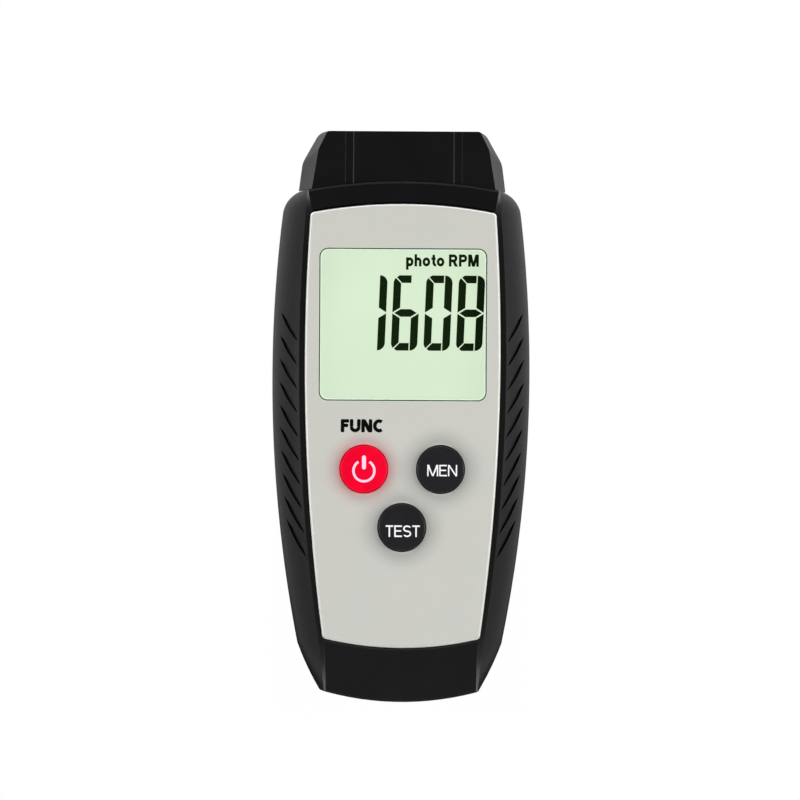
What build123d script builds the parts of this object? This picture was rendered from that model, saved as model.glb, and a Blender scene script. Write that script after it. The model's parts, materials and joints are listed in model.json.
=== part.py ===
from build123d import *
import os
from math import sqrt

# A handheld photo tachometer, lying on its back. Lengths are in millimetres.
# X runs across the face, Y towards the optical head, Z out of the face.
# The origin is under the middle of the back.

# Outer form of the body
body_length = 135.1
head_length = 13.0
girth_height = 16.0
top_arc_radius = 134.0
end_arc_radius = 75.0
girth_heel = 20.65
girth_hip = 26.55
girth_waist = 33.45
girth_brow = 31.0
girth_shoulder = 26.35
arris_heel = 19.9
arris_hip = 21.3
arris_waist = 26.9
arris_brow = 25.4
arris_shoulder = 25.0
face_heel = 19.5
face_hip = 19.8
face_brow = 23.6
face_shoulder = 24.7
hip_from_end = 15.2
waist_from_end = 85.0
brow_from_top = 8.9
strip_drop = 0.8
shoulder_swell = 1.15
heel_swell = 0.33
arris_swell = 0.05
heel_round = 0.35
grip_bulge = 1.9
back_inset_share = 0.5
back_bulge = 3.0
back_end_draft = 1.6
back_edge_height = 1.2
back_edge_inset = 0.9
frame_edge = 0.5
shell_wall = 2.0
cavity_round = 1.0
loft_spans = 3

# Grip grooves, a row on each side
groove_count = 10
groove_pitch = 5.95
groove_first_from_top = 34.1
groove_width = 1.0
groove_depth = 0.55
groove_first_run = 7.6
groove_last_run = 10.2
groove_outer_margin = 1.6
groove_inner_margin = 0.4

# Face panel in its pocket
panel_thickness = 1.6
panel_pocket_depth = 1.4
panel_gap = 0.15
panel_rim_bevel = 0.35
panel_top_margin = 5.8
panel_end_margin = 14.0
panel_top_radius = 125.0
panel_end_radius = 86.0
panel_top_half = 24.1
panel_waist_half = 25.4
panel_end_half = 20.4
panel_waist_from_end = 90.4
panel_corner = 1.3
panel_edge_round = 0.75
panel_wall = 2.0

# Display window and the display behind it
window_width = 43.6
window_height = 39.7
window_corner = 2.3
window_from_panel_top = 11.5
window_gap = 0.12
window_recess = 0.25
window_flange = 1.3
window_flange_thickness = 0.6
window_ledge = 0.3
display_frame_width = 47.0
display_frame_height = 42.4
display_frame_wall = 1.0
display_frame_gap = 0.2
glass_thickness = 2.2
glass_gap = 0.15
contact_strip_width = 2.0
contact_strip_length = 38.0
contact_strip_gap = 0.6

# Push buttons
button_diameter = 12.3
button_spacing = 19.9
button_row_below_window = 17.7
test_button_below_row = 15.1
button_gap = 0.25
button_stand = 1.2
button_edge_round = 0.5
button_travel = 0.5
button_flange_width = 1.2
button_flange_thickness = 1.3
button_flange_gap = 0.2
button_roof = 1.9
button_wall = 1.05
button_stem_diameter = 4.6

# Push switches on the board
switch_size = 6.0
switch_height = 3.3
plunger_diameter = 3.4
plunger_stand = 0.7
plunger_depth = 1.6
plunger_gap = 0.08

# Main board and what it carries
board_thickness = 1.6
board_clearance = 4.6
board_well_gap = 1.45
board_holder_gap = 0.1
board_below_button = 11.1
board_corner = 2.0
board_post_diameter = 5.0
board_post_half_span = 20.5
board_post_from_edge = 4.0
board_post_below_display = 4.55
chip_size = 12.0
chip_height = 1.6
chip_below_display = 3.95
crystal_length = 11.0
crystal_width = 4.7
crystal_height = 3.5
capacitor_diameter = 6.3
capacitor_height = 7.0
part_half_span = 12.0
parts_below_chip = 15.0
led_length = 1.6
led_width = 0.8
led_height = 0.8
led_gap = 0.5

# Optical head
head_front_drop = 1.1
head_back_height = 3.0
head_root_girth = 27.7
head_root_front = 25.0
head_cheek_girth = 25.95
head_cheek_front = 22.15
head_corner_girth = 21.35
head_corner_front = 19.8
head_cheek_girth_from_end = 8.2
head_cheek_front_from_end = 4.7
head_cheek_round = 6.0
head_corner_round = 3.3
head_front_cheek_round = 3.0
head_front_corner_round = 0.8
head_back_share = 0.7
head_root_length = 22.0
head_seat_gap = 0.1
channel_inner = 12.9
channel_outer = 15.2
channel_depth = 0.35
channel_bevel = 0.3
channel_outer_bevel = 0.2
neck_half_width = 20.0
neck_height = 19.0
neck_wall = 1.8
neck_gap = 0.15
neck_round = 2.0
neck_cut = 9.0
collar_thickness = 1.5
collar_width = 2.0
head_window_thickness = 1.5
head_window_recess = 0.6
head_window_ledge = 1.0
head_window_gap = 0.15

# Optics inside the head
holder_height = 14.4
holder_board_gap = 0.2
holder_length = 23.0
holder_from_window = 3.0
lens_diameter = 12.0
lens_thickness = 3.6
lens_bulge = 1.4
lens_offset = -6.0
lens_rim = 0.8
laser_diameter = 6.0
laser_length = 15.0
laser_offset = 10.0
laser_beam_diameter = 3.0
laser_front_wall = 2.0
barrel_gap = 0.05
barrel_chamfer = 0.4
sensor_board_thickness = 1.6
sensor_board_height = 12.6
sensor_diameter = 5.0
sensor_length = 4.4
sensor_flat = 0.6
header_width = 7.6
header_depth = 2.5

# Battery and its compartment
battery_length = 46.4
battery_width = 26.5
battery_thickness = 17.5
battery_corner = 2.0
battery_gap = 0.45
battery_rest_gap = 0.25
stud_height = 2.1
stud_diameter = 5.8
stud_spacing = 12.7
snap_width = 24.0
snap_depth = 11.0
snap_thickness = 3.6
snap_stud_gap = 0.3
snap_lift = 0.2
well_room = 3.0
well_wall = 1.3
well_gap = 0.3
well_roof = 1.2
pad_length = 30.0
pad_width = 18.0
pad_thickness = 0.8
lead_diameter = 1.3
lead_half_spacing = 2.0
lead_bend = 5.0
lead_run = 9.0
lead_slot_margin = 0.9

# Battery door
door_lap = 1.0
door_thickness = 1.95
door_recess = 0.25
door_gap = 0.25
door_overlap = 2.6
door_mouth = 3.0
door_tongue_width = 1.0
door_tongue_thickness = 1.0
door_tongue_margin = 4.0
door_ledge_width = 1.5
door_ledge_height = 4.2
door_ridge_count = 5
door_ridge_pitch = 2.4
door_ridge_width = 1.0
door_ridge_depth = 0.5
door_ridge_length = 14.0
door_ridge_from_edge = 5.0

# Screws
screw_diameter = 2.8
screw_head_diameter = 5.2
screw_head_height = 2.0
screw_seat_height = 6.2
screw_bite = 8.0
screw_clearance = 0.2
screw_thread_gap = 0.05
screw_head_gap = 0.35
post_diameter = 7.4
boss_diameter = 6.0
screw_high_half_span = 22.5
screw_high_from_top = 10.4
screw_runner_wall = 0.9
screw_low_from_end = 24.2
small_screw_diameter = 2.0
small_screw_head_diameter = 3.8
small_screw_head_height = 1.4
small_screw_bite = 3.6
socket_diameter = 2.4
socket_depth = 0.8
socket_slot = 0.6

# Levels and lines worked out from the sizes
overall_length = body_length + head_length
end_y = -overall_length / 2
head_end_y = overall_length / 2
top_y = end_y + body_length
battery_z = door_recess + door_thickness + battery_rest_gap
battery_top_z = battery_z + battery_thickness
well_ceiling_z = battery_top_z + pad_thickness
board_z = well_ceiling_z + well_roof + board_well_gap
board_top_z = board_z + board_thickness
ceiling_z = board_top_z + board_clearance
pocket_floor_z = ceiling_z + panel_wall
panel_top_z = pocket_floor_z + panel_thickness
face_z = pocket_floor_z + panel_pocket_depth
arris_z = face_z - strip_drop
head_front_z = face_z - head_front_drop
bore_half_width = neck_half_width - neck_wall
bore_half_height = neck_height / 2 - neck_wall
optical_axis_z = board_z - holder_board_gap - holder_height + bore_half_height
window_seat_y = head_end_y - head_window_recess - head_window_thickness
holder_front_y = window_seat_y - holder_from_window
holder_back_y = holder_front_y - holder_length
window_y = top_y - panel_top_margin - window_from_panel_top - window_height / 2
button_row_y = window_y - window_height / 2 - button_row_below_window
test_button_y = button_row_y - test_button_below_row
button_places = {
    "power": (-button_spacing / 2, button_row_y),
    "menu": (button_spacing / 2, button_row_y),
    "test": (0, test_button_y),
}
board_width = display_frame_width
board_top_end_y = holder_back_y - board_holder_gap
board_end_y = test_button_y - board_below_button
board_posts = [
    (side * board_post_half_span, along)
    for side in (-1, 1)
    for along in (
        board_end_y + board_post_from_edge,
        window_y - display_frame_height / 2 - board_post_below_display,
    )
]
well_half_width = battery_width / 2 + battery_gap
well_outer_half = well_half_width + well_wall
well_corner_rise = end_arc_radius - sqrt(end_arc_radius**2 - well_outer_half**2)
well_outer_end_y = end_y + well_corner_rise + shell_wall + well_gap
well_end_y = well_outer_end_y + well_wall
battery_end_y = well_end_y + battery_gap
snap_y = battery_end_y + battery_length + snap_lift
well_top_y = snap_y + snap_thickness + well_room
lead_z = battery_z + battery_thickness / 2
door_half_width = well_half_width + door_lap
door_top_y = well_top_y + door_overlap
runner_half = door_half_width + door_tongue_width + door_gap
screw_seat_radius = screw_head_diameter / 2 + screw_head_gap
screw_low_half_span = runner_half + screw_runner_wall + screw_seat_radius
screw_places = [
    (side * half_span, along)
    for side in (-1, 1)
    for half_span, along in (
        (screw_low_half_span, end_y + screw_low_from_end),
        (screw_high_half_span, top_y - screw_high_from_top),
    )
]


def blend(share, low, high):
    """The value at a share of the way from low to high."""
    return low + share * (high - low)


def levels(low, high):
    """Heights of the sections of a loft, evenly spaced from low to high."""
    return [blend(step / loft_spans, low, high) for step in range(loft_spans + 1)]


def grip_share(height):
    """How far the side has closed in from the girth to the arris at a height of the front half."""
    return ((height - girth_height) / (arris_z - girth_height)) ** grip_bulge


def back_share(height):
    """How far the side has closed in from the girth at a height of the rear half."""
    return back_inset_share * ((girth_height - height) / girth_height) ** back_bulge


def plan_section(height, share, wall=0.0, draft=0.0, hollow=False):
    """Plan section of the body at a height: share 0 is the girth and 1 the arris of the face."""
    top = top_y - wall - draft
    end = end_y + wall + draft
    top_radius = top_arc_radius - wall
    end_radius = end_arc_radius - wall
    shoulder_x = blend(share, girth_shoulder, arris_shoulder) - wall
    heel_x = blend(share, girth_heel, arris_heel) - wall
    shoulder = (shoulder_x, top - top_radius + sqrt(top_radius**2 - shoulder_x**2))
    heel = (heel_x, end + end_radius - sqrt(end_radius**2 - heel_x**2))
    brow = (blend(share, girth_brow, arris_brow) - wall, top_y - brow_from_top)
    waist = (blend(share, girth_waist, arris_waist) - wall, end_y + waist_from_end)
    hip = (blend(share, girth_hip, arris_hip) - wall, end_y + hip_from_end)
    with BuildSketch(Plane.XY.offset(height)) as section:
        with BuildLine():
            SagittaArc(heel, hip, -blend(share, heel_swell, arris_swell))
            ThreePointArc(hip, waist, brow)
            SagittaArc(brow, shoulder, -blend(share, shoulder_swell, arris_swell))
            mirror(about=Plane.YZ)
            ThreePointArc(shoulder, (0, top), (-shoulder[0], shoulder[1]))
            ThreePointArc((-heel[0], heel[1]), (0, end), heel)
        make_face()
        heels = section.vertices().group_by(Axis.Y)[0]
        fillet(heels, radius=cavity_round if hollow else heel_round)
    return section.sketch


def face_section(height, draft):
    """The flat of the front face, which the side strips slope up to, shorter at both ends by a draft."""
    top = top_y - draft
    end = end_y + draft
    heel = (face_heel, end + end_arc_radius - sqrt(end_arc_radius**2 - face_heel**2))
    shoulder = (face_shoulder, top - top_arc_radius + sqrt(top_arc_radius**2 - face_shoulder**2))
    brow = (face_brow, top_y - brow_from_top)
    hip = (face_hip, end_y + hip_from_end)
    with BuildSketch(Plane.XY.offset(height)) as section:
        with BuildLine():
            Line(heel, hip)
            Line(hip, brow)
            Line(brow, shoulder)
            mirror(about=Plane.YZ)
            ThreePointArc(shoulder, (0, top), (-shoulder[0], shoulder[1]))
            ThreePointArc((-heel[0], heel[1]), (0, end), heel)
        make_face()
        fillet(section.vertices().group_by(Axis.Y)[0], radius=heel_round)
    return section.sketch


def panel_outline(plane, gap):
    """Outline of the face panel on a plane, grown by a gap for its pocket."""
    top = top_y - panel_top_margin
    end = end_y + panel_end_margin
    top_corner = (panel_top_half, top - panel_top_radius + sqrt(panel_top_radius**2 - panel_top_half**2))
    end_corner = (panel_end_half, end + panel_end_radius - sqrt(panel_end_radius**2 - panel_end_half**2))
    waist = (panel_waist_half, end_y + panel_waist_from_end)
    with BuildSketch(plane) as outline:
        with BuildLine():
            ThreePointArc(end_corner, waist, top_corner)
            mirror(about=Plane.YZ)
            ThreePointArc(top_corner, (0, top), (-top_corner[0], top_corner[1]))
            ThreePointArc((-end_corner[0], end_corner[1]), (0, end), end_corner)
        make_face()
        fillet(outline.vertices(), radius=panel_corner)
        if gap:
            offset(amount=gap, mode=Mode.REPLACE)
    return outline.sketch


def window_outline(plane, grow):
    """Rounded outline of the display window on a plane, grown on each side."""
    with BuildSketch(plane) as outline:
        with Locations((0, window_y)):
            RectangleRounded(window_width + 2 * grow, window_height + 2 * grow, window_corner + grow)
    return outline.sketch


def front_form():
    """Outer form of the front half: bulging grips up to the arris, then the strips up to the face."""
    with BuildPart() as form:
        loft(sections=[plan_section(height, grip_share(height)) for height in grip_heights])
        edge_z = face_z - frame_edge
        loft(sections=[plan_section(arris_z, 1), face_section(edge_z, 0)], ruled=True)
        loft(sections=[face_section(edge_z, 0), face_section(face_z, frame_edge)], ruled=True)
    return form.part


def back_section(height, inset=0.0, hollow=False):
    """Plan section of the rear half at a height, which closes in towards the flat back."""
    share = back_share(max(height, back_edge_height))
    draft = 0 if hollow else back_end_draft * share
    return plan_section(height, share, wall=inset, draft=draft, hollow=hollow)


def rear_form():
    """Outer form of the rear half, with a bevelled edge round the flat back."""
    with BuildPart() as form:
        loft(sections=[back_section(height) for height in levels(girth_height, back_edge_height)])
        loft(sections=[back_section(back_edge_height), back_section(0, back_edge_inset)], ruled=True)
    return form.part


def grip_edge(waist, hip, brow, along):
    """Half width, at a place along the body, of the arc through its hip, waist and brow."""
    low = (hip, end_y + hip_from_end)
    middle = (waist, end_y + waist_from_end)
    high = (brow, top_y - brow_from_top)
    with BuildLine() as side:
        ThreePointArc(low, middle, high)
    crossings = side.edge().find_intersection_points(Axis((0, along, 0), (1, 0, 0)))
    return crossings[0].X


def head_plane(along):
    """A plane square to the optical axis, with its origin on it."""
    return Plane(origin=(0, along, optical_axis_z), x_dir=(1, 0, 0), z_dir=(0, 1, 0))


def cut_neck_opening():
    """Cut the opening in the end wall that the neck of the head passes through."""
    with BuildSketch(head_plane(top_y - neck_cut)) as opening:
        RectangleRounded(
            2 * (neck_half_width + neck_gap), neck_height + 2 * neck_gap, neck_round + neck_gap
        )
    extrude(opening.sketch, amount=2 * neck_cut, mode=Mode.SUBTRACT)


def cylinders(places, height, diameter):
    """Circles of one diameter at places on a level plane."""
    with BuildSketch(Plane.XY.offset(height)) as circles:
        with Locations(*places):
            Circle(diameter / 2)
    return circles.sketch


# Front shell: frame, ribbed grips, pocket for the panel, bosses and board posts
grip_heights = levels(girth_height, arris_z)
front_block = front_form()

with BuildPart() as front_hollow:
    loft(
        sections=[
            plan_section(height, grip_share(height), wall=shell_wall, hollow=True)
            for height in levels(girth_height, ceiling_z)
        ]
    )
    extrude(
        cylinders(screw_places, girth_height, boss_diameter),
        amount=ceiling_z - girth_height,
        mode=Mode.SUBTRACT,
    )
    extrude(
        cylinders(board_posts, board_top_z, board_post_diameter),
        amount=board_clearance,
        mode=Mode.SUBTRACT,
    )

# The grooves down each grip, tapered at both ends, as deep as they stand outside a smaller form
with BuildPart() as grip_core:
    loft(
        sections=[
            plan_section(height, grip_share(height), wall=groove_depth) for height in grip_heights
        ]
    )

with BuildPart() as groove_cutters:
    for side in (-1, 1):
        for step in range(groove_count):
            high_y = top_y - groove_first_from_top - step * groove_pitch
            low_y = high_y - blend(step / (groove_count - 1), groove_first_run, groove_last_run)
            outer_x = grip_edge(girth_waist, girth_hip, girth_brow, high_y) - groove_outer_margin
            inner_x = grip_edge(arris_waist, arris_hip, arris_brow, low_y) + groove_inner_margin
            outer = Vector(outer_x, high_y)
            inner = Vector(inner_x, low_y)
            swell = (inner - outer).normalized().rotate(Axis.Z, 90) * groove_width / 2
            middle = (outer + inner) / 2
            with BuildSketch(Plane.XY.offset(girth_height)):
                with BuildLine():
                    ThreePointArc(outer, middle + swell, inner)
                    ThreePointArc(inner, middle - swell, outer)
                make_face()
                if side < 0:
                    mirror(about=Plane.YZ, mode=Mode.REPLACE)
            extrude(amount=arris_z - girth_height)
    add(grip_core.part, mode=Mode.SUBTRACT)

with BuildPart() as front_shell:
    add(front_block)
    add(front_hollow.part, mode=Mode.SUBTRACT)
    extrude(
        panel_outline(Plane.XY.offset(pocket_floor_z), panel_gap),
        amount=2 * panel_pocket_depth,
        mode=Mode.SUBTRACT,
    )
    # Bevelled rim of the pocket, where the frame is at its highest
    loft(
        sections=[
            panel_outline(Plane.XY.offset(face_z - panel_rim_bevel), panel_gap),
            panel_outline(Plane.XY.offset(face_z + panel_rim_bevel), panel_gap + 2 * panel_rim_bevel),
        ],
        ruled=True,
        mode=Mode.SUBTRACT,
    )
    extrude(
        window_outline(Plane.XY.offset(ceiling_z), window_ledge),
        amount=2 * panel_wall,
        mode=Mode.SUBTRACT,
    )
    extrude(
        cylinders(button_places.values(), ceiling_z, button_diameter + 2 * button_gap),
        amount=2 * panel_wall,
        mode=Mode.SUBTRACT,
    )
    extrude(
        cylinders(screw_places, girth_height, screw_diameter + 2 * screw_thread_gap),
        amount=screw_bite + screw_clearance,
        mode=Mode.SUBTRACT,
    )
    extrude(
        cylinders(board_posts, board_top_z, small_screw_diameter + 2 * screw_thread_gap),
        amount=small_screw_bite + screw_clearance,
        mode=Mode.SUBTRACT,
    )
    cut_neck_opening()
    add(groove_cutters.part, mode=Mode.SUBTRACT)
front_shell.part.label = "front_shell"


# Rear shell: floor, well for the battery, screw posts and the runners of the door
def plan_box(half_width, low_y, high_y, height):
    """A rectangle in plan at a height, symmetrical across the body."""
    with BuildSketch(Plane.XY.offset(height)) as box:
        with Locations((0, (low_y + high_y) / 2)):
            Rectangle(2 * half_width, high_y - low_y)
    return box.sketch


rear_block = rear_form()
tongue_top_z = door_recess + door_thickness
tongue_z = tongue_top_z - door_tongue_thickness
runner_top_y = door_top_y - door_tongue_margin + door_gap
beyond_end_y = end_y - door_mouth
back_heights = levels(shell_wall, girth_height)

with BuildPart() as rear_hollow:
    loft(sections=[back_section(height, shell_wall, hollow=True) for height in back_heights])
    extrude(
        plan_box(runner_half + door_ledge_width, beyond_end_y, door_top_y + door_ledge_width, 0),
        amount=door_ledge_height,
        mode=Mode.SUBTRACT,
    )
    extrude(cylinders(screw_places, 0, post_diameter), amount=girth_height, mode=Mode.SUBTRACT)

with BuildPart() as rear_shell:
    add(rear_block)
    add(rear_hollow.part, mode=Mode.SUBTRACT)
    extrude(
        plan_box(well_outer_half, well_outer_end_y, well_top_y + well_wall, door_ledge_height / 2),
        amount=well_ceiling_z + well_roof - door_ledge_height / 2,
    )
    extrude(
        plan_box(well_half_width, well_end_y, well_top_y, 0),
        amount=well_ceiling_z,
        mode=Mode.SUBTRACT,
    )
    # Recess of the door, open at the foot, with a runner for each tongue
    extrude(
        plan_box(door_half_width + door_gap, beyond_end_y, door_top_y + door_gap, 0),
        amount=tongue_top_z + door_gap,
        mode=Mode.SUBTRACT,
    )
    extrude(
        plan_box(runner_half, beyond_end_y, runner_top_y, tongue_z - door_gap),
        amount=door_tongue_thickness + 2 * door_gap,
        mode=Mode.SUBTRACT,
    )
    # Seats and clearance holes of the screws
    extrude(
        cylinders(screw_places, 0, 2 * screw_seat_radius),
        amount=screw_seat_height,
        mode=Mode.SUBTRACT,
    )
    extrude(
        cylinders(screw_places, 0, screw_diameter + 2 * screw_clearance),
        amount=girth_height,
        mode=Mode.SUBTRACT,
    )
    # Slot in the wall of the well for the leads
    with BuildSketch(Plane.XZ.offset(-well_top_y)):
        with Locations((0, lead_z)):
            SlotOverall(
                2 * (lead_half_spacing + lead_diameter / 2 + lead_slot_margin),
                lead_diameter + 2 * lead_slot_margin,
            )
    extrude(amount=-well_wall, mode=Mode.SUBTRACT)
    cut_neck_opening()
rear_shell.part.label = "rear_shell"


# Battery door: a plate of the back itself, with a tongue along each side
with BuildPart() as battery_door:
    add(rear_block)
    extrude(
        plan_box(door_half_width, beyond_end_y, door_top_y, door_recess),
        amount=door_thickness,
        mode=Mode.INTERSECT,
    )
    with BuildSketch(Plane.XY.offset(tongue_z)):
        with Locations((0, (end_y + door_top_y) / 2)):
            Rectangle(
                2 * (door_half_width + door_tongue_width),
                door_top_y - end_y - 2 * door_tongue_margin,
            )
    extrude(amount=door_tongue_thickness)
    # Ridges for the thumb, left between grooves
    with BuildSketch(Plane.XY.offset(door_recess)):
        for step in range(door_ridge_count):
            with Locations((0, door_top_y - door_ridge_from_edge - step * door_ridge_pitch)):
                SlotOverall(door_ridge_length, door_ridge_width)
    extrude(amount=door_ridge_depth, mode=Mode.SUBTRACT)
battery_door.part.label = "battery_door"


# Optical head: a hood with bevelled cheeks, a neck through the end wall and a collar behind it
def head_section(height, share):
    """Plan section of the head: share 0 is at the girth and 1 at the front."""
    root = (blend(share, head_root_girth, head_root_front), head_end_y - head_root_length)
    cheek = (
        blend(share, head_cheek_girth, head_cheek_front),
        head_end_y - blend(share, head_cheek_girth_from_end, head_cheek_front_from_end),
    )
    corner = (blend(share, head_corner_girth, head_corner_front), head_end_y)
    with BuildSketch(Plane.XY.offset(height)) as section:
        with BuildLine():
            Line((-root[0], root[1]), root)
            Polyline(root, cheek, corner)
            mirror(about=Plane.YZ)
            Line(corner, (-corner[0], corner[1]))
        make_face()
        corners = section.vertices().group_by(Axis.Y)[-1]
        fillet(corners, radius=blend(share, head_corner_round, head_front_corner_round))
        cheeks = section.vertices().group_by(Axis.Y)[1]
        fillet(cheeks, radius=blend(share, head_cheek_round, head_front_cheek_round))
    return section.sketch


collar_radius = top_arc_radius - shell_wall - neck_gap
collar_half_height = neck_height / 2 + collar_width

with BuildPart() as optics_head:
    loft(sections=[head_section(girth_height, 0), head_section(head_front_z, 1)], ruled=True)
    loft(
        sections=[head_section(head_back_height, head_back_share), head_section(girth_height, 0)],
        ruled=True,
    )
    # Channels down the front, with bevelled walls
    with BuildSketch(Plane.XZ.offset(-head_end_y)):
        with BuildLine():
            Polyline(
                (channel_inner, head_front_z),
                (channel_inner + channel_bevel, head_front_z - channel_depth),
                (channel_outer - channel_outer_bevel, head_front_z - channel_depth),
                (channel_outer, head_front_z),
                close=True,
            )
        make_face()
        mirror(about=Plane.YZ)
    extrude(amount=head_root_length, mode=Mode.SUBTRACT)
    # Seat on the arched end wall of the body
    with BuildSketch():
        with Locations((0, top_y - top_arc_radius)):
            Circle(top_arc_radius + head_seat_gap)
    extrude(amount=face_z, mode=Mode.SUBTRACT)
    with BuildSketch(head_plane(top_y - neck_cut)):
        RectangleRounded(2 * neck_half_width, neck_height, neck_round)
    extrude(amount=neck_cut + head_seat_gap + neck_wall)
    with BuildSketch(Plane.XY.offset(optical_axis_z - collar_half_height)):
        with Locations((0, top_y - top_arc_radius)):
            Circle(collar_radius)
            Circle(collar_radius - collar_thickness, mode=Mode.SUBTRACT)
        with Locations((0, top_y)):
            Rectangle(2 * (neck_half_width + collar_width), 2 * neck_cut, mode=Mode.INTERSECT)
    extrude(amount=2 * collar_half_height)
    # Bore along the optical axis, and the recess for the window
    with BuildSketch(head_plane(top_y - 2 * neck_cut)):
        RectangleRounded(2 * bore_half_width, 2 * bore_half_height, neck_round)
    extrude(amount=overall_length, mode=Mode.SUBTRACT)
    with BuildSketch(head_plane(window_seat_y)):
        RectangleRounded(
            2 * (bore_half_width + head_window_ledge),
            2 * (bore_half_height + head_window_ledge),
            neck_round + head_window_ledge,
        )
    extrude(amount=overall_length, mode=Mode.SUBTRACT)
optics_head.part.label = "optics_head"

with BuildPart() as head_window:
    with BuildSketch(head_plane(window_seat_y)):
        RectangleRounded(
            2 * (bore_half_width + head_window_ledge - head_window_gap),
            2 * (bore_half_height + head_window_ledge - head_window_gap),
            neck_round + head_window_ledge - head_window_gap,
        )
    extrude(amount=head_window_thickness)
head_window.part.label = "head_window"


# Optics: a block on the floor of the bore holds the lens, the laser and the sensor board
bore_floor_z = optical_axis_z - bore_half_height
holder_width = 2 * (bore_half_width - neck_round)
holder_drop = optical_axis_z - bore_floor_z - holder_height / 2
sensor_screw_x = holder_width / 2 - small_screw_head_diameter / 2 - socket_depth

with BuildPart() as lens_holder:
    with BuildSketch(head_plane(holder_back_y)):
        with Locations((0, holder_drop)):
            Rectangle(holder_width, holder_height)
    extrude(amount=holder_length)
    with BuildSketch(head_plane(holder_front_y - lens_thickness)):
        with Locations((lens_offset, 0)):
            Circle(lens_diameter / 2 + barrel_gap)
    extrude(amount=lens_thickness, mode=Mode.SUBTRACT)
    with BuildSketch(head_plane(holder_back_y)):
        with Locations((lens_offset, 0)):
            Circle(lens_diameter / 2 - lens_rim)
        with Locations((laser_offset, 0)):
            Circle(laser_beam_diameter / 2)
    extrude(amount=holder_length, mode=Mode.SUBTRACT)
    with BuildSketch(head_plane(holder_back_y)):
        with Locations((laser_offset, 0)):
            Circle(laser_diameter / 2 + barrel_gap)
    extrude(amount=holder_length - laser_front_wall, mode=Mode.SUBTRACT)
    with BuildSketch(head_plane(holder_back_y)):
        with Locations((-sensor_screw_x, 0), (sensor_screw_x, 0)):
            Circle(small_screw_diameter / 2 + screw_thread_gap)
    extrude(amount=small_screw_bite + screw_clearance, mode=Mode.SUBTRACT)
lens_holder.part.label = "lens_holder"

with BuildPart() as receiving_lens:
    with BuildSketch(Plane.XY.offset(optical_axis_z)):
        with BuildLine():
            lens_back_y = holder_front_y - lens_thickness
            lens_edge_y = holder_front_y - lens_bulge
            Polyline(
                (lens_offset, holder_front_y),
                (lens_offset, lens_back_y),
                (lens_offset + lens_diameter / 2, lens_back_y),
                (lens_offset + lens_diameter / 2, lens_edge_y),
            )
            RadiusArc(
                (lens_offset + lens_diameter / 2, lens_edge_y),
                (lens_offset, holder_front_y),
                -((lens_diameter / 2) ** 2 + lens_bulge**2) / (2 * lens_bulge),
            )
        make_face()
    revolve(axis=Axis((lens_offset, 0, optical_axis_z), (0, 1, 0)))
receiving_lens.part.label = "receiving_lens"

with BuildPart() as laser_module:
    with BuildSketch(head_plane(holder_front_y - laser_front_wall - laser_length)):
        with Locations((laser_offset, 0)):
            Circle(laser_diameter / 2)
    extrude(amount=laser_length)
    chamfer(laser_module.edges().filter_by(GeomType.CIRCLE), length=barrel_chamfer)
    with BuildSketch(head_plane(holder_front_y - laser_front_wall)):
        with Locations((laser_offset, 0)):
            Circle(laser_beam_diameter / 2)
    extrude(amount=-laser_front_wall, mode=Mode.SUBTRACT)
laser_module.part.label = "laser_module"

with BuildPart() as sensor_board:
    with BuildSketch(head_plane(holder_back_y - sensor_board_thickness)):
        with Locations((0, holder_drop)):
            Rectangle(holder_width, sensor_board_height)
        with Locations((-sensor_screw_x, 0), (sensor_screw_x, 0)):
            Circle(small_screw_diameter / 2 + screw_clearance, mode=Mode.SUBTRACT)
    extrude(amount=sensor_board_thickness)
sensor_board.part.label = "sensor_board"

with BuildPart() as photo_sensor:
    with BuildSketch(head_plane(holder_back_y)):
        with Locations((lens_offset, 0)):
            Circle(sensor_diameter / 2)
    extrude(amount=sensor_length)
    fillet(photo_sensor.faces().sort_by(Axis.Y)[-1].edges(), radius=sensor_diameter / 2 - sensor_flat)
photo_sensor.part.label = "photo_sensor"

with BuildPart() as sensor_screws:
    with BuildSketch(head_plane(holder_back_y - sensor_board_thickness)):
        with Locations((-sensor_screw_x, 0), (sensor_screw_x, 0)):
            Circle(small_screw_head_diameter / 2)
    extrude(amount=-small_screw_head_height)
    with BuildSketch(head_plane(holder_back_y - sensor_board_thickness)):
        with Locations((-sensor_screw_x, 0), (sensor_screw_x, 0)):
            Circle(small_screw_diameter / 2)
    extrude(amount=small_screw_bite + sensor_board_thickness)
    head_y = holder_back_y - sensor_board_thickness - small_screw_head_height
    with BuildSketch(head_plane(head_y)):
        with Locations((-sensor_screw_x, 0), (sensor_screw_x, 0)):
            Rectangle(socket_diameter, socket_slot)
            Rectangle(socket_slot, socket_diameter)
    extrude(amount=socket_depth, mode=Mode.SUBTRACT)
sensor_screws.part.label = "sensor_screws"


# Face panel with its openings
with BuildPart() as face_panel:
    extrude(panel_outline(Plane.XY.offset(pocket_floor_z), 0), amount=panel_thickness)
    fillet(face_panel.faces().sort_by(Axis.Z)[-1].edges(), radius=panel_edge_round)
    extrude(
        window_outline(Plane.XY.offset(pocket_floor_z), window_gap),
        amount=panel_thickness,
        mode=Mode.SUBTRACT,
    )
    extrude(
        window_outline(Plane.XY.offset(pocket_floor_z), window_flange + window_gap),
        amount=window_flange_thickness + window_gap,
        mode=Mode.SUBTRACT,
    )
    extrude(
        cylinders(button_places.values(), pocket_floor_z, button_diameter + 2 * button_gap),
        amount=panel_thickness,
        mode=Mode.SUBTRACT,
    )
face_panel.part.label = "face_panel"

with BuildPart() as lcd_window:
    extrude(
        window_outline(Plane.XY.offset(pocket_floor_z), window_flange),
        amount=window_flange_thickness,
    )
    extrude(
        window_outline(Plane.XY.offset(pocket_floor_z), 0),
        amount=panel_thickness - window_recess,
    )
lcd_window.part.label = "lcd_window"


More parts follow.
